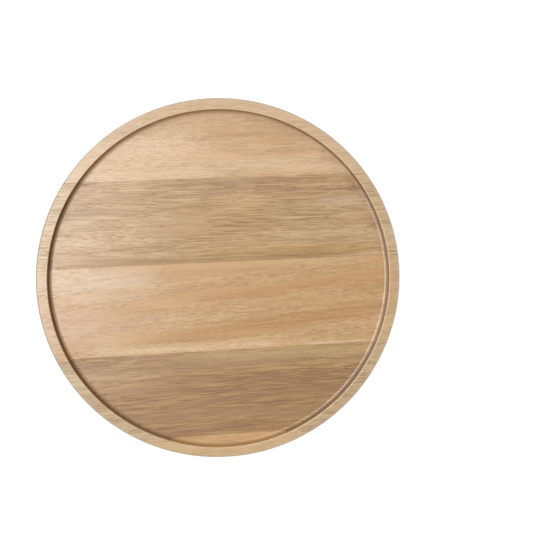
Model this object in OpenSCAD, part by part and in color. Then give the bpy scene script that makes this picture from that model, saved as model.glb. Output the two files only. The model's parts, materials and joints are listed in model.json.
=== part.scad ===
// Round serving board: a disc with a raised rim round a shallow recess, turned from one blank of
// edge-glued hardwood staves. The glue lines run straight across, through the rim and the floor.
// Millimetres. +X runs along the grain, +Y to the far edge, +Z up; the origin is the centre of the underside.

/* [Board] */
// Diameter over the rim
board_d = 300; // [280:1:360]
// Height from the underside to the top of the rim
board_h = 18; // [15:0.5:25]

/* [Rim and recess] */
// Width of the rim, from the outer side to the recess wall
rim_w = 9; // [6:0.5:16]
// Depth of the recess below the top of the rim
recess_depth = 7.5; // [5:0.5:10]
// Radius of the cove where the recess wall meets the floor
cove_r = 2.5; // [1:0.1:3]
// Radius on the inner top edge of the rim
rim_inner_edge_r = 0.5; // [0.3:0.1:2]
// Radius on the outer top edge of the rim
rim_outer_edge_r = 1.5; // [0.3:0.1:3]

/* [Underside] */
// Radius on the lower edge, where fingers get under to lift the board
base_edge_r = 3; // [0.5:0.1:5]

/* [Staves] */
// Width of the far edge stave, from the outermost point of the rim to its glue line
far_edge_stave_w = 63.5; // [40:0.5:75]
// Width of the far stave
far_stave_w = 69; // [40:0.5:75]
// Width of the near stave
near_stave_w = 74; // [40:0.5:75]
// Width of the near edge stave, from the outermost point of the rim to its glue line
near_edge_stave_w = 18; // [12:0.5:50]

/* [Glue] */
// Thickness of the glue in each joint
glue_t = 0.2; // [0.1:0.05:0.5]

/* [Hidden] */
// How far a cut runs past the face that it opens
overrun = 1;
// Straight steps in each quarter-round edge
arc_steps = 6;

// Colours of the pale staves, the brown staves and the cured glue
pale_wood = "#d0ad84";
brown_wood = "#b3906a";
cured_glue = "#8a6a48";

board_r = board_d / 2;
recess_r = board_r - rim_w;
floor_z = board_h - recess_depth;

// Middles of the glue lines, counted from the two edges; the centre stave takes up what is left
far_edge_line = board_r - far_edge_stave_w;
far_line = far_edge_line - far_stave_w;
near_edge_line = near_edge_stave_w - board_r;
near_line = near_edge_line + near_stave_w;

$fn = 180;

// Points along an arc of radius r about a centre, from one angle to another
function arc(centre, r, from, to) = [
    for (i = [0:arc_steps])
        let (angle = from + (to - from) * i / arc_steps)
            centre + r * [cos(angle), sin(angle)]
];

// The finished board in half section, radius across and height up: out along the underside, up the outer
// side, in over the rim, down the recess wall and back along the floor
module board_section() {
    polygon(concat(
        [[0, 0]],
        arc([board_r - base_edge_r, base_edge_r], base_edge_r, -90, 0),
        arc([board_r - rim_outer_edge_r, board_h - rim_outer_edge_r], rim_outer_edge_r, 0, 90),
        arc([recess_r + rim_inner_edge_r, board_h - rim_inner_edge_r], rim_inner_edge_r, 90, 180),
        arc([recess_r - cove_r, floor_z + cove_r], cove_r, 0, -90),
        [[0, floor_z]]
    ));
}

// The strip of the turned board that lies between two lines along the grain
module strip(near_y, far_y) {
    intersection() {
        rotate_extrude()
            board_section();
        translate([-board_r - overrun, near_y, -overrun])
            cube([board_d + 2 * overrun, far_y - near_y, board_h + 2 * overrun]);
    }
}

// A strip of wood that stops half a glue thickness short of the line on each side
module stave(near_y, far_y) {
    strip(near_y + glue_t / 2, far_y - glue_t / 2);
}

// The film of glue in the joint on one line
module glue_line(y) {
    color(cured_glue)
        strip(y - glue_t / 2, y + glue_t / 2);
}

module far_edge_stave() {
    color(pale_wood)
        stave(far_edge_line, board_r + overrun);
}

module far_stave() {
    color(brown_wood)
        stave(far_line, far_edge_line);
}

module centre_stave() {
    color(pale_wood)
        stave(near_line, far_line);
}

module near_stave() {
    color(brown_wood)
        stave(near_edge_line, near_line);
}

module near_edge_stave() {
    color(pale_wood)
        stave(-board_r - overrun, near_edge_line);
}

module far_edge_glue_line() {
    glue_line(far_edge_line);
}

module far_glue_line() {
    glue_line(far_line);
}

module near_glue_line() {
    glue_line(near_line);
}

module near_edge_glue_line() {
    glue_line(near_edge_line);
}

far_edge_stave();
far_stave();
centre_stave();
near_stave();
near_edge_stave();
far_edge_glue_line();
far_glue_line();
near_glue_line();
near_edge_glue_line();
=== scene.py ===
"""A round serving board of edge-glued acacia staves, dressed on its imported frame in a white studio.

Lengths in the classes are millimetres. +X runs along the grain, +Y to the far edge and +Z up.
"""

import json
import logging
import math
from dataclasses import dataclass, field
from enum import Enum
from functools import cached_property

import bpy
from mathutils import Matrix, Vector


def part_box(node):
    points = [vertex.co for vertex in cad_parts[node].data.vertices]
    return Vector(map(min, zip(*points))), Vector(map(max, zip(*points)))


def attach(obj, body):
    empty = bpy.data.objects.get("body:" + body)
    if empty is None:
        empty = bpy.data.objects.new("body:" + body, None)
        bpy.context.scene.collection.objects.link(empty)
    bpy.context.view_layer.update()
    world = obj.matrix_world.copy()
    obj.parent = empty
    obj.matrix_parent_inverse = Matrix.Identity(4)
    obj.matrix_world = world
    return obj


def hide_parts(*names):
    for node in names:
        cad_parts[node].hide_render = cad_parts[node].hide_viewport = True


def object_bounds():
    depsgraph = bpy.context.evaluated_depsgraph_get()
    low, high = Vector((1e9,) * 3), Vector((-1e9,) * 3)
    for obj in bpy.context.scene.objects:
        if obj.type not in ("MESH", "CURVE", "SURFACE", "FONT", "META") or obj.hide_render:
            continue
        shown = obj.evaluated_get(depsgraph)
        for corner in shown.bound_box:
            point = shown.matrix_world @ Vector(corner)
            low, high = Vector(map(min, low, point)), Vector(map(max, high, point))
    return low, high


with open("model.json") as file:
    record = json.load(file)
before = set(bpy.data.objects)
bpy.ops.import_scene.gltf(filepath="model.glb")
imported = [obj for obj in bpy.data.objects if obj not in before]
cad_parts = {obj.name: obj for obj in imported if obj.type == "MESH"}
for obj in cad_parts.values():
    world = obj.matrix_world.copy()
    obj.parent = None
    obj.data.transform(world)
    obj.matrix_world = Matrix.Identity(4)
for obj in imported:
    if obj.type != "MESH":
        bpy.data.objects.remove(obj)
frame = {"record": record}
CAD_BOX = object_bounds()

LOG = logging.getLogger("serving_board")
MM = 0.001
HALF = 0.5
SQUARE = 2.0
WHITE = (1.0, 1.0, 1.0, 1.0)

# Rows of a matrix that turns and moves
MATRIX_ROWS = 4

# The curve from written colours to linear ones: a straight toe, then a power
FULL_BYTE = 255
TOE_END = 0.04045
TOE_SLOPE = 12.92
CURVE_LIFT = 0.055
CURVE_POWER = 2.4

# How many finer layers a noise has
PLAIN_NOISE = 0.0
SOFT_NOISE = 1.0
FINE_NOISE = 2.0

# Sockets of a Mix node for colours, by number because its other data types have the same names
MIX_SHARE = 0
MIX_BELOW = 6
MIX_ABOVE = 7
MIX_RESULT = 2

Wire = bpy.types.NodeSocket
Feed = Wire | bpy.types.Material | tuple | float | int | bool
Inputs = dict[str | int, Feed]
Outputs = bpy.types.bpy_prop_collection
Pair = tuple[float, float]
Triple = tuple[float, float, float]


class Slot(Enum):
    """The record's material slots."""

    PALE = "pale_acacia"
    BROWN = "brown_acacia"
    GLUE = "wood_glue"


class Mark(Enum):
    """What a marking does to the wood under it."""

    # Stains, and a few streaks of painted shadow and painted sheen.
    STAIN_AND_PAINTED_LIGHT = "stain"
    CURL = "curl"
    PORES = "pores"
    STREAKS = "streaks"
    VEINS = "veins"


class TreeKind(Enum):
    """The kinds of node group."""

    GEOMETRY = "GeometryNodeTree"
    SHADER = "ShaderNodeTree"


class Socket(Enum):
    """The kinds of socket that node groups take in and put out."""

    NUMBER = "NodeSocketFloat"
    COUNT = "NodeSocketInt"
    VECTOR = "NodeSocketVector"
    GEOMETRY = "NodeSocketGeometry"
    MATERIAL = "NodeSocketMaterial"


def linear(code: str) -> tuple[float, float, float, float]:
    """Turn a written colour into the linear one that shaders take.

    Args:
        code: a hash sign and six hexadecimal digits.

    Returns:
        Red, green and blue, and an alpha of 1.
    """
    shares = [int(code[i : i + 2], 16) / FULL_BYTE for i in (1, 3, 5)]
    red, green, blue = (
        share / TOE_SLOPE if share <= TOE_END else ((share + CURVE_LIFT) / (1 + CURVE_LIFT)) ** CURVE_POWER
        for share in shares
    )
    return red, green, blue, 1.0


class Wiring:
    """A node tree that is being wired up."""

    def __init__(self, tree: bpy.types.NodeTree) -> None:
        """Keep the tree that the nodes go into."""
        self.tree = tree

    def node(self, kind: str, inputs: Inputs | None = None, **settings: object) -> bpy.types.Node:
        """Add a node.

        Args:
            kind: the node's type name.
            inputs: what goes into its sockets, by name or number: another socket or a plain value.
            settings: the node's own settings.

        Returns:
            The new node.
        """
        made = self.tree.nodes.new(kind)
        for name, value in settings.items():
            setattr(made, name, value)
        for key, value in (inputs or {}).items():
            self.feed(made.inputs[key], value)
        return made

    def feed(self, socket: Wire, value: Feed) -> None:
        """Link a socket to another one, or set its plain value.

        Args:
            socket: the input that is fed.
            value: another node's output, or the plain value.
        """
        if isinstance(value, Wire):
            self.tree.links.new(value, socket)
        else:
            socket.default_value = value

    def math(self, operation: str, *values: Feed) -> Wire:
        """Return the result of a Math node."""
        return self.node("ShaderNodeMath", dict(enumerate(values)), operation=operation).outputs[0]

    def product(self, first: Feed, second: Feed) -> Wire:
        """Return two numbers multiplied."""
        return self.math("MULTIPLY", first, second)

    def vector(self, operation: str, *values: Feed) -> Wire:
        """Return the vector that a Vector Math node gives."""
        made = self.node("ShaderNodeVectorMath", dict(enumerate(values)), operation=operation)
        return made.outputs["Vector"]

    def measure(self, operation: str, *values: Feed) -> Wire:
        """Return the number that a Vector Math node gives, such as a length."""
        made = self.node("ShaderNodeVectorMath", dict(enumerate(values)), operation=operation)
        return made.outputs["Value"]

    def in_mm(self, position: Feed) -> Wire:
        """Return a position in millimetres."""
        return self.vector("DIVIDE", position, (MM, MM, MM))

    def split(self, vector: Feed) -> list[Wire]:
        """Return the three parts of a vector."""
        return list(self.node("ShaderNodeSeparateXYZ", {0: vector}).outputs)

    def join(self, *parts: Feed) -> Wire:
        """Return the vector of up to three parts."""
        return self.node("ShaderNodeCombineXYZ", dict(enumerate(parts))).outputs[0]

    def ease(self, value: Feed, step: tuple[Feed, Feed], low: Feed = 0.0, high: Feed = 1.0) -> Wire:
        """Pass a value through a smooth step.

        Args:
            value: what is measured.
            step: where the step begins and ends.
            low: the result before the step.
            high: the result after it.

        Returns:
            The stepped value.
        """
        start, end = step
        inputs = {"Value": value, "From Min": start, "From Max": end, "To Min": low, "To Max": high}
        return self.node("ShaderNodeMapRange", inputs, interpolation_type="SMOOTHSTEP").outputs[0]

    def fade(self, value: Feed, step: tuple[Feed, Feed]) -> Wire:
        """Return 1 before a smooth step and 0 after it."""
        return self.ease(value, step, low=1.0, high=0.0)

    def blotches(self, place: Feed, grain: Feed, detail: float) -> bpy.types.Node:
        """Add a noise whose blotches have a given size.

        Args:
            place: where the noise is read.
            grain: the size of its blotches along each axis, in the units of the place.
            detail: how many finer layers it has.

        Returns:
            The noise node.
        """
        scaled = self.vector("DIVIDE", place, grain)
        return self.node("ShaderNodeTexNoise", {"Vector": scaled, "Scale": 1.0, "Detail": detail})

    def noise(self, place: Feed, grain: Feed, detail: float = SOFT_NOISE) -> Wire:
        """Return a noise whose mean is a half."""
        return self.blotches(place, grain, detail).outputs["Fac"]

    def drift(self, place: Feed, grain: Feed) -> Wire:
        """Return a vector that wanders about zero."""
        colour = self.blotches(place, grain, SOFT_NOISE).outputs["Color"]
        return self.vector("SUBTRACT", colour, (HALF, HALF, HALF))

    def blend(self, share: Feed, below: Feed, above: Feed) -> Wire:
        """Lay a share of one colour over another."""
        inputs = {MIX_SHARE: share, MIX_BELOW: below, MIX_ABOVE: above}
        return self.node("ShaderNodeMix", inputs, data_type="RGBA").outputs[MIX_RESULT]

    def place(self, tree: bpy.types.NodeTree, inputs: Inputs) -> Outputs:
        """Place a shader node group and return its outputs."""
        return self.node("ShaderNodeGroup", inputs, node_tree=tree).outputs


class Group(Wiring):
    """A node group with named inputs and outputs."""

    def __init__(self, name: str, kind: TreeKind, inputs: dict[str, Socket]) -> None:
        """Make the group with nothing in it yet.

        Args:
            name: the group's name.
            kind: the kind of its tree.
            inputs: the kind of each input.
        """
        super().__init__(bpy.data.node_groups.new(name, kind.value))
        for label, socket in inputs.items():
            self.tree.interface.new_socket(label, in_out="INPUT", socket_type=socket.value)
        self.given = self.node("NodeGroupInput").outputs

    def give(self, kind: Socket, **results: Feed) -> bpy.types.NodeTree:
        """Give the group its outputs.

        Args:
            kind: the kind of every output.
            results: what each output gives, by its name.

        Returns:
            The finished tree.
        """
        for label in results:
            self.tree.interface.new_socket(label, in_out="OUTPUT", socket_type=kind.value)
        self.node("NodeGroupOutput", results)
        return self.tree


def blank_finish(name: str) -> tuple[bpy.types.Material, Wiring]:
    """Make a material with nothing in it yet.

    Args:
        name: the material's name.

    Returns:
        The material, and its tree to wire up.
    """
    made = bpy.data.materials.new(name)
    made.use_nodes = True
    made.node_tree.nodes.clear()
    return made, Wiring(made.node_tree)


@dataclass(frozen=True)
class TurnedSection:
    """The half section that the lathe leaves: underside, outer side, rim, recess wall, cove and floor."""

    board_r: float
    board_h: float
    floor_z: float
    rim_w: float = 9.0
    base_edge_r: float = 3.0
    outer_edge_r: float = 1.5
    inner_edge_r: float = 0.5
    cove_r: float = 2.5
    flat_margin: float = 0.2

    @classmethod
    def of_frame(cls) -> "TurnedSection":
        """Take the outer sizes and the floor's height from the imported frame.

        Returns:
            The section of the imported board.
        """
        top = CAD_BOX[1] / MM
        floor = next(mount for mount in frame["record"]["mounts"] if mount["name"] == "serving_floor")
        _, _, floor_z = floor["pos_m"]
        return cls(board_r=top.x, board_h=top.z, floor_z=floor_z / MM)

    @property
    def recess_r(self) -> float:
        """Radius of the recess wall."""
        return self.board_r - self.rim_w

    def corners(self) -> list[Triple]:
        """List the corners of the section before they are rounded.

        A point beside each rounding keeps the flats flat when the mesh is shaded smooth.

        Returns:
            Radius, height and rounding of each corner, from the axis underneath to the axis on the floor.
        """
        outer, inner, top, floor = self.board_r, self.recess_r, self.board_h, self.floor_z
        base, rim_out, rim_in, cove = (
            rounding + self.flat_margin
            for rounding in (self.base_edge_r, self.outer_edge_r, self.inner_edge_r, self.cove_r)
        )
        return [
            (0.0, 0.0, 0.0),
            (outer - base, 0.0, 0.0),
            (outer, 0.0, self.base_edge_r),
            (outer, base, 0.0),
            (outer, top - rim_out, 0.0),
            (outer, top, self.outer_edge_r),
            (outer - rim_out, top, 0.0),
            (inner + rim_in, top, 0.0),
            (inner, top, self.inner_edge_r),
            (inner, top - rim_in, 0.0),
            (inner, floor + cove, 0.0),
            (inner, floor, self.cove_r),
            (inner - cove, floor, 0.0),
            (0.0, floor, 0.0),
        ]


@dataclass(frozen=True)
class StripTree:
    """The geometry tree that turns the section into a disc and keeps the strip between two lines.

    The slab's reach is counted in radii of the board.
    """

    section: TurnedSection
    segments: int = 360
    edge_steps: int = 8
    crease_deg: float = 28.0
    weld: float = 0.01
    slab_reach: float = 3.0

    def build(self) -> bpy.types.NodeTree:
        """Wire up the tree.

        Returns:
            A geometry tree that takes the two lines, the steps of the turning and the edges, and the finish.
        """
        inputs = {
            "Geometry": Socket.GEOMETRY,
            "Near Line": Socket.NUMBER,
            "Far Line": Socket.NUMBER,
            "Turning Steps": Socket.COUNT,
            "Edge Steps": Socket.COUNT,
            "Finish": Socket.MATERIAL,
        }
        tree = Group("turned_strip", TreeKind.GEOMETRY, inputs)
        disc = self._disc(tree)
        slab = self._slab(tree)
        strip = tree.node("GeometryNodeMeshBoolean", operation="INTERSECT", solver="EXACT")
        for solid in (disc, slab):
            tree.feed(strip.inputs["Mesh 2"], solid)
        return tree.give(Socket.GEOMETRY, Geometry=self._finished(tree, strip.outputs["Mesh"]))

    def _disc(self, tree: Group) -> Wire:
        """Sweep the rounded section round the axis and close its two poles.

        Args:
            tree: the tree to add to.

        Returns:
            The mesh of the whole board.
        """
        board_r = self.section.board_r
        corners = self.section.corners()
        index = tree.node("GeometryNodeInputIndex").outputs[0]
        points = [((radius - board_r) * MM, -height * MM, 0.0) for radius, height, _ in corners]
        places = self._chosen(tree, index, "VECTOR", points)
        roundings = self._chosen(tree, index, "FLOAT", [rounding * MM for _, _, rounding in corners])
        line = tree.node("GeometryNodeMeshLine", {"Count": len(corners)}).outputs[0]
        placed = tree.node("GeometryNodeSetPosition", {"Geometry": line, "Position": places}).outputs[0]
        curve = tree.node("GeometryNodeMeshToCurve", {0: placed}).outputs[0]
        rounded = tree.node(
            "GeometryNodeFilletCurve",
            {"Curve": curve, "Count": tree.given["Edge Steps"], "Radius": roundings, "Limit Radius": True},
            mode="POLY",
        ).outputs[0]
        circle = tree.node(
            "GeometryNodeCurvePrimitiveCircle",
            {"Resolution": tree.given["Turning Steps"], "Radius": board_r * MM},
        ).outputs[0]
        swept = tree.node("GeometryNodeCurveToMesh", {"Curve": circle, "Profile Curve": rounded}).outputs[0]
        welded = {"Geometry": swept, "Distance": self.weld * MM}
        return tree.node("GeometryNodeMergeByDistance", welded).outputs[0]

    def _chosen(self, tree: Group, index: Feed, kind: str, values: list[Feed]) -> Wire:
        """Pick one value for each point.

        Args:
            tree: the tree to add to.
            index: the point's number.
            kind: the data type of the values.
            values: one value for each point.

        Returns:
            The picked value.
        """
        switch = tree.node("GeometryNodeIndexSwitch", data_type=kind)
        while len(switch.index_switch_items) < len(values):
            switch.index_switch_items.new()
        tree.feed(switch.inputs["Index"], index)
        for socket, value in enumerate(values, start=1):
            tree.feed(switch.inputs[socket], value)
        return switch.outputs[0]

    def _slab(self, tree: Group) -> Wire:
        """Make the block between the two lines, past the board at its ends, top and bottom.

        Args:
            tree: the tree to add to.

        Returns:
            The block's mesh.
        """
        near, far = tree.given["Near Line"], tree.given["Far Line"]
        past = self.slab_reach * self.section.board_r * MM
        size = tree.join(past, tree.math("SUBTRACT", far, near), past)
        middle = tree.join(0.0, tree.product(tree.math("ADD", near, far), HALF), 0.0)
        block = tree.node("GeometryNodeMeshCube", {"Size": size}).outputs[0]
        return tree.node("GeometryNodeTransform", {"Geometry": block, "Translation": middle}).outputs[0]

    def _finished(self, tree: Group, mesh: Feed) -> Wire:
        """Smooth the roundings, keep the saw cuts sharp and give the strip its finish.

        Args:
            tree: the tree to add to.
            mesh: the bare strip.

        Returns:
            The finished strip.
        """
        angle = tree.node("GeometryNodeInputMeshEdgeAngle").outputs["Unsigned Angle"]
        crease = {0: angle, 1: math.radians(self.crease_deg)}
        cut = tree.node("FunctionNodeCompare", crease, operation="GREATER_THAN").outputs[0]
        smooth = tree.node(
            "GeometryNodeSetShadeSmooth", {"Geometry": mesh, "Shade Smooth": True}, domain="FACE"
        ).outputs[0]
        creased = tree.node(
            "GeometryNodeSetShadeSmooth",
            {"Geometry": smooth, "Selection": cut, "Shade Smooth": False},
            domain="EDGE",
        ).outputs[0]
        real = tree.node("GeometryNodeRealizeInstances", {0: creased}).outputs[0]
        return tree.node("GeometryNodeSetMaterial", {0: real, "Material": tree.given["Finish"]}).outputs[0]


class LatheGroup(Group):
    """A shader group that knows the radius and the height of the point that it shades."""

    def __init__(self, name: str) -> None:
        """Make the group and measure the point.

        Args:
            name: the group's name.
        """
        super().__init__(name, TreeKind.SHADER, {"Position": Socket.VECTOR})
        self.x, self.y, self.z = self.split(self.in_mm(self.given["Position"]))
        self.radius = self.measure("LENGTH", self.join(self.x, self.y))

    def near(self, corner: Pair, reach: float) -> Wire:
        """Mask what lies close to a corner of the section.

        Args:
            corner: the corner's radius and height.
            reach: how far from the corner the mask ends.

        Returns:
            The mask, 1 at the corner.
        """
        gap = self.measure("DISTANCE", self.join(self.radius, self.z), (*corner, 0.0))
        return self.fade(gap, (0.0, reach))

    def upright(self, wall_r: float, levels: Pair, soft: float, beside: Pair) -> Wire:
        """Mask an upright face of the section.

        Args:
            wall_r: the face's radius.
            levels: the heights of its foot and its top.
            soft: how far the mask fades below the foot and above the top.
            beside: how far from the face the mask begins and ends to fade.

        Returns:
            The mask, 1 on the face.
        """
        foot, top = levels
        off = self.math("ABSOLUTE", self.math("SUBTRACT", self.radius, wall_r))
        height = self.product(self.ease(self.z, (foot - soft, foot)), self.fade(self.z, (top, top + soft)))
        return self.product(self.fade(off, beside), height)


@dataclass(frozen=True)
class LatheMasks:
    """The masks of what the lathe left, and how far each of them goes.

    The lit side is the side of the recess whose wall faces the lamp: the end grain gets painted light there
    and painted shade on the other side, and the inner arris a stronger painted highlight there. The lit
    slant turns the way to that side from the grain, and the lit reach is counted in radii of the recess. The
    uptakes are shares of end grain, on the shaded and on the lit part of the recess wall and on the outer
    side.
    """

    section: TurnedSection
    wall_foot: float = 1.2
    wall_top: float = 0.8
    wall_soft: float = 0.8
    wall_beside: Pair = (0.4, 1.6)
    lit_slant: float = -0.47
    lit_reach: float = 1.1
    shaded_uptake: float = 0.95
    lit_uptake: float = 0.6
    side_uptake: float = 0.35
    cove_reach: float = 4.0
    pool_edge: float = 0.5
    rim_foot: float = 2.0
    rim_top: float = 0.5
    inner_edge_reach: float = 1.6
    outer_edge_reach: float = 2.8

    def build(self) -> bpy.types.NodeTree:
        """Wire up the group.

        Returns:
            A group that masks the rim's top, the cove and the oil pooled in it, the rim's two edges, the
            upright faces, their end grain, and the lit side of the board, where light is painted.
        """
        group = LatheGroup("turned_levels")
        board_r, board_h = self.section.board_r, self.section.board_h
        recess_r, floor_z = self.section.recess_r, self.section.floor_z
        wall_levels = (floor_z + self.wall_foot, board_h - self.wall_top)
        side_levels = (self.section.base_edge_r, board_h - self.section.outer_edge_r)
        recess_wall = group.upright(recess_r, wall_levels, self.wall_soft, self.wall_beside)
        outer_side = group.upright(board_r, side_levels, self.wall_soft, self.wall_beside)
        along = group.math("POWER", group.math("DIVIDE", group.x, group.radius), SQUARE)
        # Lit side: where the recess wall faces the lamp; painted light goes there and painted shade on the
        # other side.
        slant = group.math("MULTIPLY_ADD", group.y, self.lit_slant, group.x)
        lit_side = group.ease(slant, (0.0, self.lit_reach * recess_r))
        uptake = group.ease(lit_side, (0.0, 1.0), low=self.shaded_uptake, high=self.lit_uptake)
        wall_ends = group.product(recess_wall, uptake)
        side_ends = group.product(outer_side, self.side_uptake)
        cove = group.near((recess_r, floor_z), self.cove_reach)
        return group.give(
            Socket.NUMBER,
            Rim=group.ease(group.z, (floor_z + self.rim_foot, board_h - self.rim_top)),
            Cove=cove,
            Pool=group.product(group.ease(cove, (0.0, self.pool_edge)), group.product(along, lit_side)),
            Inner_Edge=group.near((recess_r, board_h), self.inner_edge_reach),
            Outer_Edge=group.near((board_r, board_h), self.outer_edge_reach),
            Wall=group.math("MAXIMUM", recess_wall, outer_side),
            End_Grain=group.product(group.math("MAXIMUM", wall_ends, side_ends), along),
            Dry=lit_side,
        )


@dataclass(frozen=True)
class WoodEffects:
    """The shader node groups that the staves share, each built once, when a finish first asks for it.

    A grain is the size of a noise's blotches along the grain, out from the pith and round it, a shift is
    how far away the noise is read, and a step is the stretch of the noise over which its mask rises.
    """

    section: TurnedSection
    long_sway_grain: Triple = (150.0, 48.0, 48.0)
    short_sway_grain: Triple = (30.0, 8.0, 8.0)
    short_sway_share: float = 0.18
    band_grain: Triple = (320.0, 13.0, 60.0)
    line_grain: Triple = (60.0, 2.6, 20.0)
    hair_breadth: Pair = (0.7, 2.5)
    vein_grain: Triple = (40.0, 1.8, 9.0)
    vein_half: float = 0.07
    vein_clump_grain: Triple = (70.0, 7.0, 30.0)
    vein_clump_shift: Triple = (61.0, 17.0, 29.0)
    vein_clump_step: Pair = (0.38, 0.62)
    blush_grain: Triple = (140.0, 9.0, 40.0)
    blush_shift: Triple = (37.0, 91.0, 53.0)
    dash_grain: Triple = (5.0, 0.55, 0.55)
    dash_step: Pair = (0.62, 0.72)
    pore_clump_grain: Triple = (46.0, 6.0, 14.0)
    pore_clump_step: Pair = (0.34, 0.58)
    curl_turn_deg: float = 10.0
    curl_grain: Triple = (3.6, 1.0, 3.0)
    curl_step: Pair = (0.44, 0.68)
    marking_end: float = 0.25

    @cached_property
    def turned_levels(self) -> bpy.types.NodeTree:
        """The masks of what the lathe left."""
        return LatheMasks(self.section).build()

    @cached_property
    def grain_frame(self) -> bpy.types.NodeTree:
        """Bend the board's own axes along the grain, and measure out from the pith of the log.

        Returns:
            A group that gives the bent place in the board, and that place as a length along the grain, a
            distance from the pith and an arc round it.
        """
        inputs = {
            "Position": Socket.VECTOR,
            "Offset": Socket.VECTOR,
            "Pith": Socket.VECTOR,
            "Slope": Socket.NUMBER,
            "Sway": Socket.NUMBER,
        }
        group = Group("grain_frame", TreeKind.SHADER, inputs)
        given = group.given
        straight = group.in_mm(given["Position"])
        x, _, _ = group.split(straight)
        seeded = group.vector("ADD", straight, given["Offset"])
        long_sway = group.drift(seeded, self.long_sway_grain)
        short_sway = group.drift(seeded, self.short_sway_grain)
        short_shares = (0.0, self.short_sway_share, self.short_sway_share)
        sway = group.vector("MULTIPLY_ADD", short_sway, short_shares, long_sway)
        sway = group.vector("MULTIPLY", sway, group.join(0.0, given["Sway"], given["Sway"]))
        board = group.vector("ADD", straight, sway)
        climb = group.join(0.0, group.product(given["Slope"], x))
        level = group.vector("SUBTRACT", board, climb)
        _, across, up = group.split(group.vector("SUBTRACT", level, given["Pith"]))
        ring = group.measure("LENGTH", group.join(0.0, across, up))
        arc = group.product(group.math("ARCTAN2", across, up), ring)
        place = group.vector("ADD", group.join(x, ring, arc), given["Offset"])
        return group.give(Socket.VECTOR, Board=board, Place=place)

    @cached_property
    def growth_lines(self) -> bpy.types.NodeTree:
        """Lay bands, lines, hairlines and thin sharp veins along the growth rings, and a slow change of hue.

        Returns:
            A group that gives each of them as a number.
        """
        inputs = {"Place": Socket.VECTOR, "Hair Length": Socket.NUMBER}
        group = Group("growth_lines", TreeKind.SHADER, inputs)
        place = group.given["Place"]
        hair_grain = group.join(group.given["Hair Length"], *self.hair_breadth)
        fold = group.math("SUBTRACT", group.noise(place, self.vein_grain), HALF)
        thin = group.fade(group.math("ABSOLUTE", fold), (0.0, self.vein_half))
        clump_place = group.vector("ADD", place, self.vein_clump_shift)
        clump = group.ease(group.noise(clump_place, self.vein_clump_grain), self.vein_clump_step)
        return group.give(
            Socket.NUMBER,
            Band=group.noise(place, self.band_grain),
            Line=group.noise(place, self.line_grain, FINE_NOISE),
            Hair=group.noise(place, hair_grain, FINE_NOISE),
            Vein=group.product(thin, clump),
            Blush=group.noise(group.vector("ADD", place, self.blush_shift), self.blush_grain),
        )

    @cached_property
    def vessels(self) -> bpy.types.NodeTree:
        """Scatter the open pores: short dashes along the grain, and dots on the end grain.

        Returns:
            A group that gives them spread evenly, and in loose clumps.
        """
        group = Group("vessels", TreeKind.SHADER, {"Place": Socket.VECTOR})
        place = group.given["Place"]
        dash = group.ease(group.noise(place, self.dash_grain, PLAIN_NOISE), self.dash_step)
        clump = group.ease(group.noise(place, self.pore_clump_grain), self.pore_clump_step)
        return group.give(Socket.NUMBER, Dash=dash, Pore=group.product(dash, clump))

    @cached_property
    def curl(self) -> bpy.types.NodeTree:
        """Lay the small bright lumps of curled grain.

        Returns:
            A group that gives their mask.
        """
        group = Group("curl", TreeKind.SHADER, {"Board": Socket.VECTOR})
        turn = {"Vector": group.given["Board"], "Angle": math.radians(self.curl_turn_deg)}
        turned = group.node("ShaderNodeVectorRotate", turn, rotation_type="Z_AXIS").outputs[0]
        lumps = group.noise(turned, self.curl_grain, FINE_NOISE)
        return group.give(Socket.NUMBER, Fleck=group.ease(lumps, self.curl_step))

    @cached_property
    def marking(self) -> bpy.types.NodeTree:
        """Mask a soft-ended streak from one point to another.

        Returns:
            A group that gives the mask.
        """
        inputs = dict.fromkeys(("Board", "Start", "End"), Socket.VECTOR) | {"Half Width": Socket.NUMBER}
        group = Group("marking", TreeKind.SHADER, inputs)
        given = group.given
        x, y, _ = group.split(group.vector("SUBTRACT", given["Board"], given["Start"]))
        run, rise, _ = group.split(group.vector("SUBTRACT", given["End"], given["Start"]))
        along = group.math("DIVIDE", x, run)
        off = group.math("ABSOLUTE", group.math("SUBTRACT", y, group.product(along, rise)))
        body = group.fade(group.math("DIVIDE", off, given["Half Width"]), (0.0, 1.0))
        start = group.ease(along, (0.0, self.marking_end))
        end = group.fade(along, (1.0 - self.marking_end, 1.0))
        return group.give(Socket.NUMBER, Mask=group.product(body, group.product(start, end)))


@dataclass(frozen=True)
class Marking:
    """A streak of colour or a patch of curl at a known place in the wood; a few streaks are painted shadow,
    and one is partly painted sheen.
    """

    start: Pair
    end: Pair
    half_width: float
    tone: str
    strength: float
    mark: Mark = Mark.STAIN_AND_PAINTED_LIGHT


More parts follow.
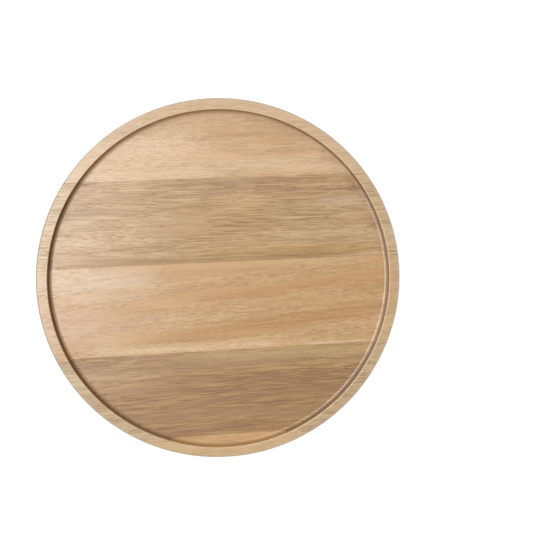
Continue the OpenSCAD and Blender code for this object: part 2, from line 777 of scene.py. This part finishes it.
@dataclass(frozen=True)
class Acacia:
    """Oiled acacia: growth lines between two tones, pores, markings, and a paler rim.

    The fields that end in _rough are added to the roughness where their masks are full.
    """

    name: str
    slot: Slot
    pale: str
    dark: str
    blush: str
    rim: str
    rim_share: float
    offset: Triple
    pith: Pair
    slope: float = 0.0
    sway: float = 3.0
    band_share: float = 1.2
    line_share: float = 1.1
    hair_share: float = 3.0
    hair_length: float = 12.0
    vein_share: float = 0.5
    blush_step: Pair = (0.42, 0.70)
    blush_share: float = 0.7
    stain_step: Pair = (0.30, 0.70)
    stain_thin: float = 0.55
    stain_deep: float = 1.25
    streak_step: Pair = (0.48, 0.66)
    rim_grain: float = 0.42
    pore_tone: str = "#6E4E30"
    pore_share: float = 0.32
    # Cove darkened with the pore tone: painted shade.
    cove_shade_share: float = 0.06
    # Upright faces darkened towards this tone: painted shade.
    wall: str = "#BA9052"
    wall_shade_share: float = 0.5
    # End grain tones: the darker brown on the shaded side is painted shade, the pale lilac-grey on the lit
    # side is painted light.
    shaded_end_grain: str = "#80563C"
    lit_end_grain: str = "#A6968F"
    # Paler inner arris, stronger on the lit side: painted highlight.
    arris_highlight: str = "#EAD2AE"
    shaded_arris_highlight: float = 0.2
    lit_arris_highlight: float = 0.7
    # Paler, greyer outer edge: painted sheen on the rounding.
    edge_sheen: str = "#C6BAAA"
    edge_sheen_share: float = 0.55
    hair_relief: float = 0.5
    relief_strength: float = 0.5
    relief_depth: float = 0.06
    roughness: float = 0.315
    hair_rough: float = 0.18
    pore_rough: float = 0.15
    wall_rough: float = 0.45
    cove_rough: float = -0.1
    ior: float = 1.5
    coat_roughness: float = 0.22
    markings: tuple[Marking, ...] = ()

    def material(self, effects: WoodEffects) -> bpy.types.Material:
        """Wire up the finish.

        Args:
            effects: the shared node groups.

        Returns:
            The material of one stave.
        """
        made, wood = blank_finish(self.name)
        position = wood.node("ShaderNodeTexCoord").outputs["Object"]
        log = {
            "Position": position,
            "Offset": self.offset,
            "Pith": (0.0, *self.pith),
            "Slope": self.slope,
            "Sway": self.sway,
        }
        grain = wood.place(effects.grain_frame, log)
        lines = wood.place(effects.growth_lines, {"Place": grain["Place"], "Hair Length": self.hair_length})
        vessels = wood.place(effects.vessels, {"Place": grain["Place"]})
        levels = wood.place(effects.turned_levels, {"Position": position})
        tone = self._tone(wood, lines)
        colour = wood.blend(tone, linear(self.pale), linear(self.dark))
        blush = wood.ease(lines["Blush"], self.blush_step, high=self.blush_share)
        colour = wood.blend(blush, colour, linear(self.blush))
        textures = {
            Mark.STAIN_AND_PAINTED_LIGHT: wood.ease(lines["Line"], self.stain_step, low=self.stain_thin, high=self.stain_deep),
            Mark.CURL: wood.place(effects.curl, {"Board": grain["Board"]})["Fleck"],
            Mark.PORES: vessels["Dash"],
            Mark.STREAKS: wood.ease(lines["Hair"], self.streak_step),
            Mark.VEINS: lines["Vein"],
        }
        colour = self._marked(wood, effects, colour, grain["Board"], textures)
        rim = wood.blend(wood.product(tone, self.rim_grain), linear(self.rim), linear(self.dark))
        colour = wood.blend(wood.product(levels["Rim"], self.rim_share), colour, rim)
        colour = self._turned(wood, colour, vessels["Pore"], levels)
        self._shade(wood, colour, lines["Hair"], vessels["Pore"], levels)
        return made

    def _tone(self, wood: Wiring, lines: Outputs) -> Wire:
        """Add up the growth lines to a share of the dark tone.

        Args:
            wood: the material's tree.
            lines: the growth lines.

        Returns:
            The share.
        """
        tone: Feed = HALF
        for name, share in (("Band", self.band_share), ("Line", self.line_share), ("Hair", self.hair_share)):
            tone = wood.math("MULTIPLY_ADD", wood.math("SUBTRACT", lines[name], HALF), share, tone)
        return wood.math("MULTIPLY_ADD", lines["Vein"], self.vein_share, tone)

    def _marked(
        self, wood: Wiring, effects: WoodEffects, colour: Feed, board: Feed, textures: dict[Mark, Feed]
    ) -> Wire:
        """Lay the markings over the wood.

        Args:
            wood: the material's tree.
            effects: the shared node groups.
            colour: the wood's colour so far.
            board: the place along the bent grain.
            textures: what breaks up each kind of marking.

        Returns:
            The marked colour.
        """
        for marking in self.markings:
            streak = {
                "Board": board,
                "Start": (*marking.start, 0.0),
                "End": (*marking.end, 0.0),
                "Half Width": marking.half_width,
            }
            mask = wood.place(effects.marking, streak)["Mask"]
            share = wood.product(wood.product(mask, textures[marking.mark]), marking.strength)
            colour = wood.blend(share, colour, linear(marking.tone))
        return colour

    def _turned(self, wood: Wiring, colour: Feed, pores: Feed, levels: Outputs) -> Wire:
        """Colour the pores, and paint shade and light on what the lathe left.

        The cove and the upright faces get painted shade, the end grain painted shade on the shaded side and
        painted light on the lit side, the inner arris a painted highlight and the outer edge a painted
        sheen.

        Args:
            wood: the material's tree.
            colour: the wood's colour so far.
            pores: the mask of the open pores.
            levels: the masks of what the lathe left.

        Returns:
            The finished colour.
        """
        for mask, share, tone in (
            (pores, self.pore_share, self.pore_tone),
            # Painted shade in the cove.
            (levels["Cove"], self.cove_shade_share, self.pore_tone),
            # Painted shade on the upright faces.
            (levels["Wall"], self.wall_shade_share, self.wall),
        ):
            colour = wood.blend(wood.product(mask, share), colour, linear(tone))
        # End grain painted dark on the shaded side and pale on the lit side: painted shade and painted
        # light.
        ends = wood.blend(levels["Dry"], linear(self.shaded_end_grain), linear(self.lit_end_grain))
        colour = wood.blend(levels["End_Grain"], colour, ends)
        # Painted highlight on the inner arris, stronger on the lit side.
        arris_highlight_share = wood.ease(
            levels["Dry"], (0.0, 1.0), low=self.shaded_arris_highlight, high=self.lit_arris_highlight
        )
        colour = wood.blend(wood.product(levels["Inner_Edge"], arris_highlight_share), colour, linear(self.arris_highlight))
        # Painted sheen on the outer edge.
        return wood.blend(wood.product(levels["Outer_Edge"], self.edge_sheen_share), colour, linear(self.edge_sheen))

    def _shade(self, wood: Wiring, colour: Feed, hair: Feed, pores: Feed, levels: Outputs) -> None:
        """Give the wood its oiled sheen and the relief of its pores.

        Args:
            wood: the material's tree.
            colour: the finished colour.
            hair: the finest growth lines.
            pores: the mask of the open pores.
            levels: the masks of what the lathe left: the upright faces are rougher, the cove is burnished.
        """
        relief = {
            "Height": wood.math("SUBTRACT", wood.product(hair, self.hair_relief), pores),
            "Strength": self.relief_strength,
            "Distance": self.relief_depth * MM,
        }
        rough = wood.math("MULTIPLY_ADD", wood.math("SUBTRACT", hair, HALF), self.hair_rough, self.roughness)
        for mask, change in (
            (pores, self.pore_rough),
            (levels["Wall"], self.wall_rough),
            (levels["Cove"], self.cove_rough),
        ):
            rough = wood.math("MULTIPLY_ADD", mask, change, rough)
        sheen = {
            "Base Color": colour,
            "Roughness": rough,
            "Normal": wood.node("ShaderNodeBump", relief).outputs[0],
            "IOR": self.ior,
            "Coat Weight": levels["Pool"],
            "Coat Roughness": self.coat_roughness,
        }
        shader = wood.node("ShaderNodeBsdfPrincipled", sheen)
        wood.node("ShaderNodeOutputMaterial", {"Surface": shader.outputs[0]})


@dataclass(frozen=True)
class CuredGlue:
    """The thin amber line of cured glue, sanded flush, and a little fuller and thinner along its run."""

    name: str = "cured_glue"
    slot: Slot = Slot.GLUE
    starved: str = "#B08A60"
    full: str = "#7C5B3A"
    run_grain: Triple = (22.0, 30.0, 5.0)
    full_step: Pair = (0.35, 0.65)
    roughness: float = 0.5
    rough_swing: float = 0.08
    rough_step: Pair = (0.3, 0.7)

    def material(self) -> bpy.types.Material:
        """Wire up the finish.

        Returns:
            The material of every glue line.
        """
        made, glue = blank_finish(self.name)
        position = glue.in_mm(glue.node("ShaderNodeTexCoord").outputs["Object"])
        run = glue.noise(position, self.run_grain, FINE_NOISE)
        colour = glue.blend(glue.ease(run, self.full_step), linear(self.starved), linear(self.full))
        smoothest, roughest = self.roughness - self.rough_swing, self.roughness + self.rough_swing
        rough = glue.ease(run, self.rough_step, low=smoothest, high=roughest)
        shader = glue.node("ShaderNodeBsdfPrincipled", {"Base Color": colour, "Roughness": rough})
        glue.node("ShaderNodeOutputMaterial", {"Surface": shader.outputs[0]})
        return made


FAR_EDGE = Acacia(
    name="far_edge_acacia",
    slot=Slot.PALE,
    pale="#E0C09A",
    dark="#C49E74",
    blush="#DAB288",
    rim="#D5BDA0",
    rim_share=0.4,
    offset=(310, -6, -72),
    pith=(-20, -70),
    slope=0.01,
    band_share=1.7,
    line_share=0.95,
    hair_length=9.0,
    markings=(
        Marking((-125, 91), (10, 91), 7, "#E4C8A4", 0.45),
        Marking((-110, 112), (-20, 112), 14, "#E4C8A6", 0.4),
        Marking((-38, 121), (80, 119), 10, "#BE9468", 0.7),
        Marking((-20, 111), (28, 110), 6, "#C49C72", 0.45),
        Marking((-18, 127), (22, 126), 6, "#BC9468", 0.4),
        Marking((10, 107), (90, 105), 4, "#C29A70", 0.4),
        Marking((-10, 96), (150, 93), 7, "#E6CAA8", 0.42),
        Marking((0, 110), (130, 108), 18, "#8A6642", 0.28, Mark.VEINS),
        Marking((-92, 115), (12, 112), 22, "#EED8BA", 0.45, Mark.CURL),
    ),
)
FAR = Acacia(
    name="far_acacia",
    slot=Slot.BROWN,
    pale="#D1AF84",
    dark="#AC895F",
    blush="#C09A72",
    rim="#D9BF99",
    rim_share=0.75,
    offset=(-520, 130, 31),
    pith=(165, -60),
    slope=-0.01,
    band_share=0.8,
    line_share=1.6,
    hair_share=4.3,
    hair_length=20.0,
    vein_share=0.9,
    rim_grain=0.6,
    pore_share=0.4,
    # Darker end grain on the shaded side: painted shade.
    shaded_end_grain="#704A28",
    markings=(
        Marking((-70, 84), (95, 83), 6, "#94704C", 0.5),
        Marking((20, 75), (135, 74), 5, "#987452", 0.4),
        Marking((-170, 20), (130, 18), 9, "#98743E", 0.65),
        Marking((20, 64), (170, 62), 6, "#D6BA90", 0.35),
        Marking((-150, 55), (10, 54), 5, "#D8BC94", 0.25),
        Marking((-50, 74), (20, 74), 4, "#A07C56", 0.3),
        Marking((-60, 50), (110, 48), 34, "#BE9A58", 0.2),
        Marking((-60, 20), (40, 19), 5, "#9A7640", 0.35),
        Marking((10, 34), (60, 33), 5, "#A88656", 0.35),
        Marking((70, 65), (150, 64), 8, "#D8C2A4", 0.25),
        Marking((-40, 25), (150, 24), 6, "#B08C46", 0.4),
        Marking((30, 54), (130, 52), 10, "#DCC096", 0.35),
        Marking((30, 39), (160, 37), 10, "#D8BC92", 0.5),
        Marking((-10, 79), (160, 78), 10, "#6E4E34", 0.5, Mark.PORES),
        Marking((20, 61), (160, 59), 8, "#705036", 0.5, Mark.PORES),
        Marking((0, 38), (160, 36), 9, "#705036", 0.4, Mark.PORES),
        Marking((-40, 54), (230, 52), 42, "#80603E", 0.22, Mark.STREAKS),
        Marking((-60, 54), (230, 52), 44, "#6A4C2E", 0.5, Mark.VEINS),
        Marking((-140, 40), (-50, 42), 13, "#E0C29C", 0.55, Mark.CURL),
        Marking((-150, 36), (-90, 36), 8, "#DEC09A", 0.5),
        # Darker floor beside the left wall: painted shadow of the wall.
        Marking((-155, 67), (-88, 65), 16, "#8A6C48", 0.24),
    ),
)
CENTRE = Acacia(
    name="centre_acacia",
    slot=Slot.PALE,
    pale="#D6B085",
    dark="#B68F60",
    blush="#CA9E6E",
    rim="#DCC09C",
    rim_share=0.35,
    offset=(80, -210, 12),
    pith=(-150, -60),
    slope=0.05,
    band_share=0.8,
    line_share=1.3,
    hair_share=3.1,
    hair_length=7.0,
    vein_share=0.3,
    pore_share=0.25,
    markings=(
        Marking((-80, -50), (170, -22), 11, "#AE8048", 0.6),
        Marking((-60, -19), (170, 1), 9, "#B6844E", 0.5),
        # Pale patch at the left: partly the wood's pale figure, partly painted sheen where the glare falls.
        Marking((-190, 8), (-40, 6), 20, "#E6D2BA", 0.45),
        Marking((-130, -8), (-55, -9), 8, "#E8C8B4", 0.2),
        Marking((-200, -24), (-85, -28), 24, "#CBA68E", 0.35),
        Marking((-190, -42), (-60, -44), 14, "#E0C6A8", 0.2),
        Marking((-190, -32), (-10, -24), 16, "#CAA086", 0.32),
        Marking((-110, -22), (-10, -19), 6, "#B8904F", 0.4),
        Marking((-80, 15), (150, 15), 5, "#DEC29A", 0.28),
        Marking((20, -8), (100, -5), 5, "#B88A52", 0.3),
        Marking((-70, -30), (30, -22), 22, "#E6C69C", 0.4, Mark.CURL),
        Marking((-135, -54), (70, -54), 6, "#E4C49C", 0.5),
        Marking((-110, -55), (70, -55), 4, "#F2DCBA", 0.5, Mark.CURL),
        Marking((50, -34), (200, -26), 8, "#A87A44", 0.38),
        Marking((60, -56), (134, -56), 2, "#EACCA6", 0.7),
        Marking((60, -50), (170, -49), 5, "#BE9C70", 0.5),
        Marking((40, -48), (170, -44), 7, "#7A5838", 0.35, Mark.PORES),
        # Darker floor beside the left wall: painted shadow of the wall.
        Marking((-170, -47), (-98, -47), 13, "#96704A", 0.22),
    ),
)
NEAR = Acacia(
    name="near_acacia",
    slot=Slot.BROWN,
    pale="#BC9869",
    dark="#99754C",
    blush="#A68260",
    rim="#D2B893",
    rim_share=0.8,
    offset=(640, -15, -163),
    pith=(-260, -40),
    slope=0.01,
    line_share=1.9,
    hair_share=6.0,
    hair_length=22.0,
    vein_share=0.7,
    pore_share=0.5,
    # A darker near wall: painted shade.
    wall="#94724A",
    markings=(
        Marking((-60, -63), (190, -64), 9, "#C4A678", 0.75),
        Marking((-125, -87), (-30, -88), 10, "#B69068", 0.45),
        Marking((-140, -75), (-50, -76), 6, "#C4A47C", 0.45),
        Marking((-95, -101), (150, -97), 26, "#946A46", 0.35),
        Marking((-60, -81), (60, -83), 12, "#94704A", 0.35),
        Marking((20, -100), (110, -100), 8, "#8E6846", 0.25),
        Marking((-100, -128), (100, -126), 14, "#8E6644", 0.45),
        Marking((0, -84), (160, -86), 13, "#64452C", 0.45, Mark.PORES),
        Marking((-150, -68), (-20, -70), 10, "#64452C", 0.2, Mark.PORES),
        Marking((-120, -94), (220, -92), 42, "#72502F", 0.28, Mark.STREAKS),
        Marking((-60, -90), (220, -92), 44, "#5E4028", 0.2, Mark.VEINS),
    ),
)
NEAR_EDGE = Acacia(
    name="near_edge_acacia",
    slot=Slot.PALE,
    pale="#CFAB7D",
    dark="#B69060",
    blush="#CCA470",
    rim="#DCBF97",
    rim_share=0.7,
    offset=(-150, 294, 88),
    pith=(-60, -90),
    markings=(Marking((-30, -134.5), (50, -133.5), 4.5, "#E0B48C", 0.2),),
)


@dataclass(frozen=True)
class ServingBoard:
    """The board: staves and glue lines, each a strip of the same turned disc."""

    section: TurnedSection
    staves: dict[str, Acacia] = field(
        default_factory=lambda: {
            "far_edge_stave": FAR_EDGE,
            "far_stave": FAR,
            "centre_stave": CENTRE,
            "near_stave": NEAR,
            "near_edge_stave": NEAR_EDGE,
        }
    )
    glue: CuredGlue = CuredGlue()
    glue_lines: tuple[str, ...] = (
        "far_edge_glue_line",
        "far_glue_line",
        "near_glue_line",
        "near_edge_glue_line",
    )

    def build(self) -> list[bpy.types.Object]:
        """Cut every strip and put it in the place of its solid.

        Returns:
            The pieces of the board.
        """
        tree = StripTree(self.section)
        strips = tree.build()
        effects = WoodEffects(self.section)
        pieces = [
            self._strip(tree, strips, node, finish.material(effects), finish.slot)
            for node, finish in self.staves.items()
        ]
        cured = self.glue.material()
        pieces += [self._strip(tree, strips, node, cured, self.glue.slot) for node in self.glue_lines]
        return pieces

    def _strip(
        self,
        tree: StripTree,
        strips: bpy.types.NodeTree,
        node: str,
        finish: bpy.types.Material,
        slot: Slot,
    ) -> bpy.types.Object:
        """Cut one strip.

        Args:
            tree: the sizes of the geometry tree.
            strips: the geometry tree.
            node: the solid that the strip stands for.
            finish: its material.
            slot: the record's slot of that material.

        Returns:
            The strip as a plain mesh.
        """
        low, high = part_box(node)
        values = {
            "Near Line": low.y,
            "Far Line": high.y,
            "Turning Steps": tree.segments,
            "Edge Steps": tree.edge_steps,
            "Finish": finish,
        }
        blank = bpy.data.objects.new(node + "_strip", bpy.data.meshes.new(node + "_blank"))
        bpy.context.scene.collection.objects.link(blank)
        cutter = blank.modifiers.new("turned_strip", "NODES")
        cutter.node_group = strips
        for item in strips.interface.items_tree:
            if item.in_out == "INPUT" and item.name in values:
                cutter[item.identifier] = values[item.name]
        evaluated = blank.evaluated_get(bpy.context.evaluated_depsgraph_get())
        mesh = bpy.data.meshes.new_from_object(evaluated)
        blank.modifiers.remove(cutter)
        blank.data = mesh
        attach(blank, "root")
        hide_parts(node)
        LOG.info("%s: %d faces, %s", blank.name, len(mesh.polygons), finish.name)
        return blank


@dataclass(frozen=True)
class Studio:
    """The white floor, the soft light and the camera.

    The board's turn and offset are those that the camera sees, from the middle of the rim's top.
    """

    section: TurnedSection
    focal_px: float = 700.0
    frame_px: float = 550.0
    sensor: float = 36.0
    clip_start: float = 10.0
    board_turn_deg: Triple = (7.74, 6.22, 1.94)
    board_offset: Triple = (-43.2, -7.3, -578.2)
    key_place: Triple = (-1240.0, 480.0, 4000.0)
    key_size: Pair = (900.0, 3200.0)
    key_power: float = 118.0
    sky_even: float = 0.165
    sky_bright: float = 1.6
    sky_heading: Triple = (0.116, 0.659, 0.743)
    sky_focus: float = 8.0
    under_light: float = 0.5
    under_edge: float = -0.1
    floor_half: float = 1500.0
    floor_drop: float = 0.4
    floor_tone: float = 0.6
    floor_glow: float = 0.62
    gap_reach: float = 1.0

    def build(self) -> None:
        """Set up the room and the view."""
        self._camera()
        self._key()
        self._sky()
        self._floor()
        bpy.context.scene.view_settings.view_transform = "Standard"

    def _camera(self) -> None:
        """Put the camera where it sees the board turned and placed as the sizes say."""
        data = bpy.data.cameras.new("camera")
        data.sensor_width = self.sensor
        data.lens = self.sensor * self.focal_px / self.frame_px
        data.clip_start = self.clip_start * MM
        camera = bpy.data.objects.new("camera", data)
        bpy.context.scene.collection.objects.link(camera)
        turn = Matrix.Identity(MATRIX_ROWS)
        for axis, degrees in zip("XYZ", self.board_turn_deg):
            turn = turn @ Matrix.Rotation(math.radians(degrees), MATRIX_ROWS, axis)
        rim_top = Matrix.Translation((0, 0, -self.section.board_h * MM))
        seen = Matrix.Translation(Vector(self.board_offset) * MM) @ turn @ rim_top
        camera.matrix_world = seen.inverted()
        bpy.context.scene.camera = camera

    def _key(self) -> None:
        """Hang the one large soft box, facing straight down."""
        data = bpy.data.lights.new("key_softbox", "AREA")
        data.shape = "RECTANGLE"
        data.size, data.size_y = (side * MM for side in self.key_size)
        data.energy = self.key_power
        key = bpy.data.objects.new("key_softbox", data)
        key.location = Vector(self.key_place) * MM
        bpy.context.scene.collection.objects.link(key)

    def _sky(self) -> None:
        """Fill the room with light, most of it from one side and some from below the floor.

        The camera and the reflections see plain white.
        """
        world = bpy.data.worlds.new("white_room")
        world.use_nodes = True
        world.node_tree.nodes.clear()
        room = Wiring(world.node_tree)
        path = room.node("ShaderNodeLightPath").outputs
        seen = room.math("MAXIMUM", path["Is Camera Ray"], path["Is Glossy Ray"])
        seen = room.math("MAXIMUM", seen, path["Is Transmission Ray"])
        heading = room.node("ShaderNodeTexCoord").outputs["Generated"]
        facing = room.measure("DOT_PRODUCT", heading, self.sky_heading)
        bright = room.math("POWER", room.math("MAXIMUM", facing, 0.0), self.sky_focus)
        fill = room.math("MULTIPLY_ADD", bright, self.sky_bright, self.sky_even)
        _, _, rise = room.split(heading)
        below = room.ease(rise, (self.under_edge, 0.0), low=self.under_light, high=0.0)
        strength = room.ease(seen, (0.0, 1.0), low=room.math("ADD", fill, below), high=1.0)
        light = room.node("ShaderNodeBackground", {"Color": WHITE, "Strength": strength})
        room.node("ShaderNodeOutputWorld", {"Surface": light.outputs[0]})
        bpy.context.scene.world = world

    def _floor(self) -> None:
        """Lay a white floor that keeps a faint shadow.

        Seen from below, or from the gap under the board, it is clear.
        """
        half, level = self.floor_half * MM, -self.floor_drop * MM
        corners = [(x, y, level) for x, y in ((-half, -half), (half, -half), (half, half), (-half, half))]
        mesh = bpy.data.meshes.new("studio_floor")
        mesh.from_pydata(corners, [], [tuple(range(len(corners)))])
        floor = bpy.data.objects.new("studio_floor", mesh)
        bpy.context.scene.collection.objects.link(floor)
        finish, white = blank_finish("white_floor")
        path = white.node("ShaderNodeLightPath").outputs
        tone = (self.floor_tone, self.floor_tone, self.floor_tone, 1.0)
        matt = white.node("ShaderNodeBsdfDiffuse", {"Color": tone}).outputs[0]
        strength = white.product(path["Is Camera Ray"], self.floor_glow)
        glow = white.node("ShaderNodeEmission", {"Strength": strength}).outputs[0]
        lit = white.node("ShaderNodeAddShader", {0: matt, 1: glow}).outputs[0]
        clear = white.node("ShaderNodeBsdfTransparent").outputs[0]
        back = white.node("ShaderNodeNewGeometry").outputs["Backfacing"]
        gap = white.math("LESS_THAN", path["Ray Length"], self.gap_reach * MM)
        hidden = white.math("MAXIMUM", back, gap)
        shown = white.node("ShaderNodeMixShader", {0: hidden, 1: lit, 2: clear}).outputs[0]
        white.node("ShaderNodeOutputMaterial", {"Surface": shown})
        mesh.materials.append(finish)


def main() -> None:
    """Build the board and its studio, and write down how large it came out."""
    logging.basicConfig(level=logging.INFO, format="%(message)s")
    section = TurnedSection.of_frame()
    Studio(section).build()
    pieces = ServingBoard(section).build()
    LOG.info("%d pieces", len(pieces))


if __name__ == "__main__":
    main()
